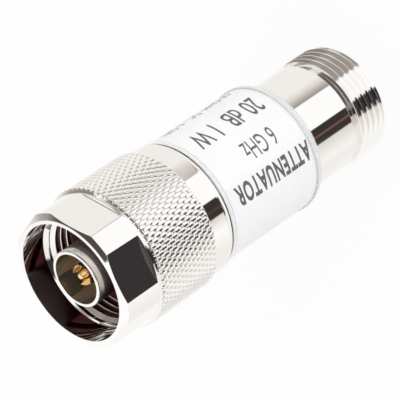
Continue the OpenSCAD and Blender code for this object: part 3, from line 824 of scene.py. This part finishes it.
# Studio that only mirrors see: a far sphere. Each row has its elevations and its stops of (azimuth from
# +Y towards +X, display tone), and tones run evenly between stops and between rows. A pale table takes
# the azimuths from about 230 to 390, a dark line runs along its edge from about 200, wider higher up,
# and white soft boxes stand before grey walls in the rest
white, snow, cream, pale = (258, 258, 258), (250, 249, 247), (244, 241, 237), (224, 218, 212)
silver, grey, dim, dusk = (190, 184, 178), (158, 150, 144), (138, 130, 124), (110, 102, 98)
shade, dark, black, brown, umber = (80, 74, 71), (56, 51, 52), (36, 33, 34), (120, 86, 70), (84, 66, 58)
studioRows = [
    ((-90, -58), [(0, white), (40, cream), (120, cream), (150, white), (200, white), (280, snow)]),
    ((-40.5, -38.4), [
        (0, white), (30, snow), (44, cream), (116, cream), (128, pale), (145, grey), (147, white),
        (198.5, white), (200.5, dark), (212.5, dark), (215, brown), (217, brown), (219.5, dark),
        (229.5, dark), (232.5, pale), (256, cream), (268, snow), (284, cream), (340, snow)]),
    ((-36.8, -35.8), [
        (0, white), (30, snow), (44, cream), (118, cream), (130, pale), (149, silver), (151, white),
        (196, white), (198, dark), (209, dark), (212, umber), (216, dark), (222, dark), (224.5, pale),
        (236, cream), (248, white), (284, cream), (340, cream)]),
    ((-35.1, -33.8), [
        (0, white), (30, snow), (44, cream), (118, cream), (126, grey), (133, grey), (138.5, pale),
        (139.5, white), (196, white), (198, dark), (226, dark), (229, pale), (240, cream), (250, white),
        (284, cream), (340, snow)]),
    ((-27,), [
        (0, white), (30, snow), (44, cream), (112, cream), (136, pale), (146, silver), (150, white),
        (197, white), (204, dark), (220, dark), (227, pale), (284, cream)]),
    ((-15, 0), [
        (0, white), (24, snow), (40, pale), (54, grey), (146, grey), (152, white), (196, white),
        (201, dark), (226, dark), (232, pale), (284, cream)]),
    ((12,), [
        (0, white), (20, snow), (36, silver), (48, grey), (80, grey), (86, pale), (104, pale),
        (112, grey), (146, grey), (152, white), (196, white), (202, dark), (228, dark), (233, pale),
        (284, snow)]),
    ((24,), [
        (0, white), (20, cream), (30, pale), (38, grey), (45, dim), (80, dim), (84, snow), (103, snow),
        (108, dim), (190, dusk), (198, dim), (222, dim), (232, pale), (284, snow)]),
    ((38,), [
        (0, white), (12, pale), (24, silver), (38, grey), (44, dim), (80, dim), (83, snow), (103, snow),
        (108, dusk), (120, shade), (190, shade), (202, dim), (209, dim), (213, dark), (223, dark),
        (227, pale), (284, snow)]),
    ((45,), [
        (0, white), (22, snow), (32, silver), (39, dusk), (48, shade), (60, dim), (73, grey), (200, grey),
        (214, dark), (244, dark), (250, cream), (300, white)]),
    ((53,), [
        (0, white), (18, snow), (30, grey), (38, shade), (54, shade), (66, dim), (85, grey), (108, grey),
        (125, silver), (140, white), (204, white), (216, dark), (250, dark), (258, cream), (300, white)]),
    ((60,), [
        (0, white), (14, snow), (26, dusk), (34, shade), (58, shade), (72, dim), (99, grey), (116, grey),
        (122, snow), (204, white), (214, black), (250, black), (257, cream), (310, white)]),
    ((68,), [
        (-6, white), (8, cream), (18, shade), (56, shade), (80, dusk), (100, grey), (124, grey),
        (128, white), (210, white), (214, black), (246, black), (252, cream), (320, white)]),
    ((74,), [
        (-10, white), (2, grey), (8, shade), (60, shade), (90, dusk), (118, grey), (130, white),
        (212, white), (217, black), (256, black), (268, cream), (320, white)]),
    ((80,), [
        (-12, white), (-2, shade), (62, shade), (100, dim), (130, white), (212, white), (226, black),
        (260, black), (274, cream), (320, white)]),
    ((90,), [(0, silver)]),
]
studio = {"radius": 6000.0, "columns": 720}


def shown(tones):
    # linear light of display tones, by the usual display curve above its straight foot
    return ((np.asarray(tones, float) / 255 + 0.055) / 1.055) ** 2.4


def onlyMirrored(card):
    card.visible_camera = False
    card.visible_diffuse = False
    card.visible_transmission = False
    card.visible_volume_scatter = False
    card.visible_shadow = False


def cardMaterial(name):
    material, wire = newMaterial(name)
    tone = wire.add("ShaderNodeVertexColor", {"layer_name": "tone"}, None, "Color")
    closeMaterial(wire, emission(wire, tone))
    return material


def toneCard(card, colours, name):
    tones = card.data.attributes.new("tone", "FLOAT_COLOR", "POINT")
    rgba = np.hstack([np.asarray(colours, float), np.ones((len(colours), 1))])
    tones.data.foreach_set("color", rgba.ravel())
    card.data.materials.append(cardMaterial(name))
    onlyMirrored(card)


def makeStudio():
    azimuth = np.linspace(0, 360, studio["columns"] + 1)

    def rowTones(stops):
        angles, tones = [stop[0] for stop in stops], np.array([stop[1] for stop in stops], float)
        return np.stack([np.interp(azimuth, angles, tones[:, i], period=360) for i in range(3)], axis=-1)

    elevation = np.radians([height for row in studioRows for height in row[0]])[:, None]
    turn = np.radians(azimuth)[None, :]
    points = studio["radius"] * np.stack([
        np.cos(elevation) * np.sin(turn), np.cos(elevation) * np.cos(turn),
        np.sin(elevation) * np.ones(turn.shape)], axis=-1)
    tones = shown(np.stack([rowTones(row[1]) for row in studioRows for height in row[0]]))
    card = flatCard("mirrorStudio", points.reshape(-1, 3), gridFaces(*points.shape[:2]).tolist())
    toneCard(card, tones.reshape(-1, 3), "mirrorStudioTone")


makeStudio()


# Light: an even pale sky, and one soft lamp for the shadow, in watts, millimetres and degrees
lamp = {"power": 0.9, "size": 500.0, "place": (120.0, -420.0, 420.0), "tilt": 46.0, "turn": 16.0}


def makeLight():
    world = bpy.data.worlds.new("paleSky")
    world.use_nodes = True
    world.node_tree.nodes.clear()
    wire = Wire(world.node_tree)
    strength = stage["sky"] + seenRays(wire) * (1 - stage["sky"])
    sky = wire.add("ShaderNodeBackground", None, {"Color": (1, 1, 1, 1), "Strength": strength})
    wire.add("ShaderNodeOutputWorld", None, {"Surface": sky})
    bpy.context.scene.world = world
    light = bpy.data.lights.new("softLamp", "AREA")
    light.shape = "DISK"
    light.size = lamp["size"] * mm
    light.energy = lamp["power"]
    lampObject = bpy.data.objects.new("softLamp", light)
    lampObject.location = [part * mm for part in lamp["place"]]
    lampObject.rotation_euler = (math.radians(lamp["tilt"]), 0, math.radians(lamp["turn"]))
    lampObject.visible_glossy = False
    bpy.context.scene.collection.objects.link(lampObject)


makeLight()
bpy.context.scene.view_settings.view_transform = "Standard"
print("stage and light made")
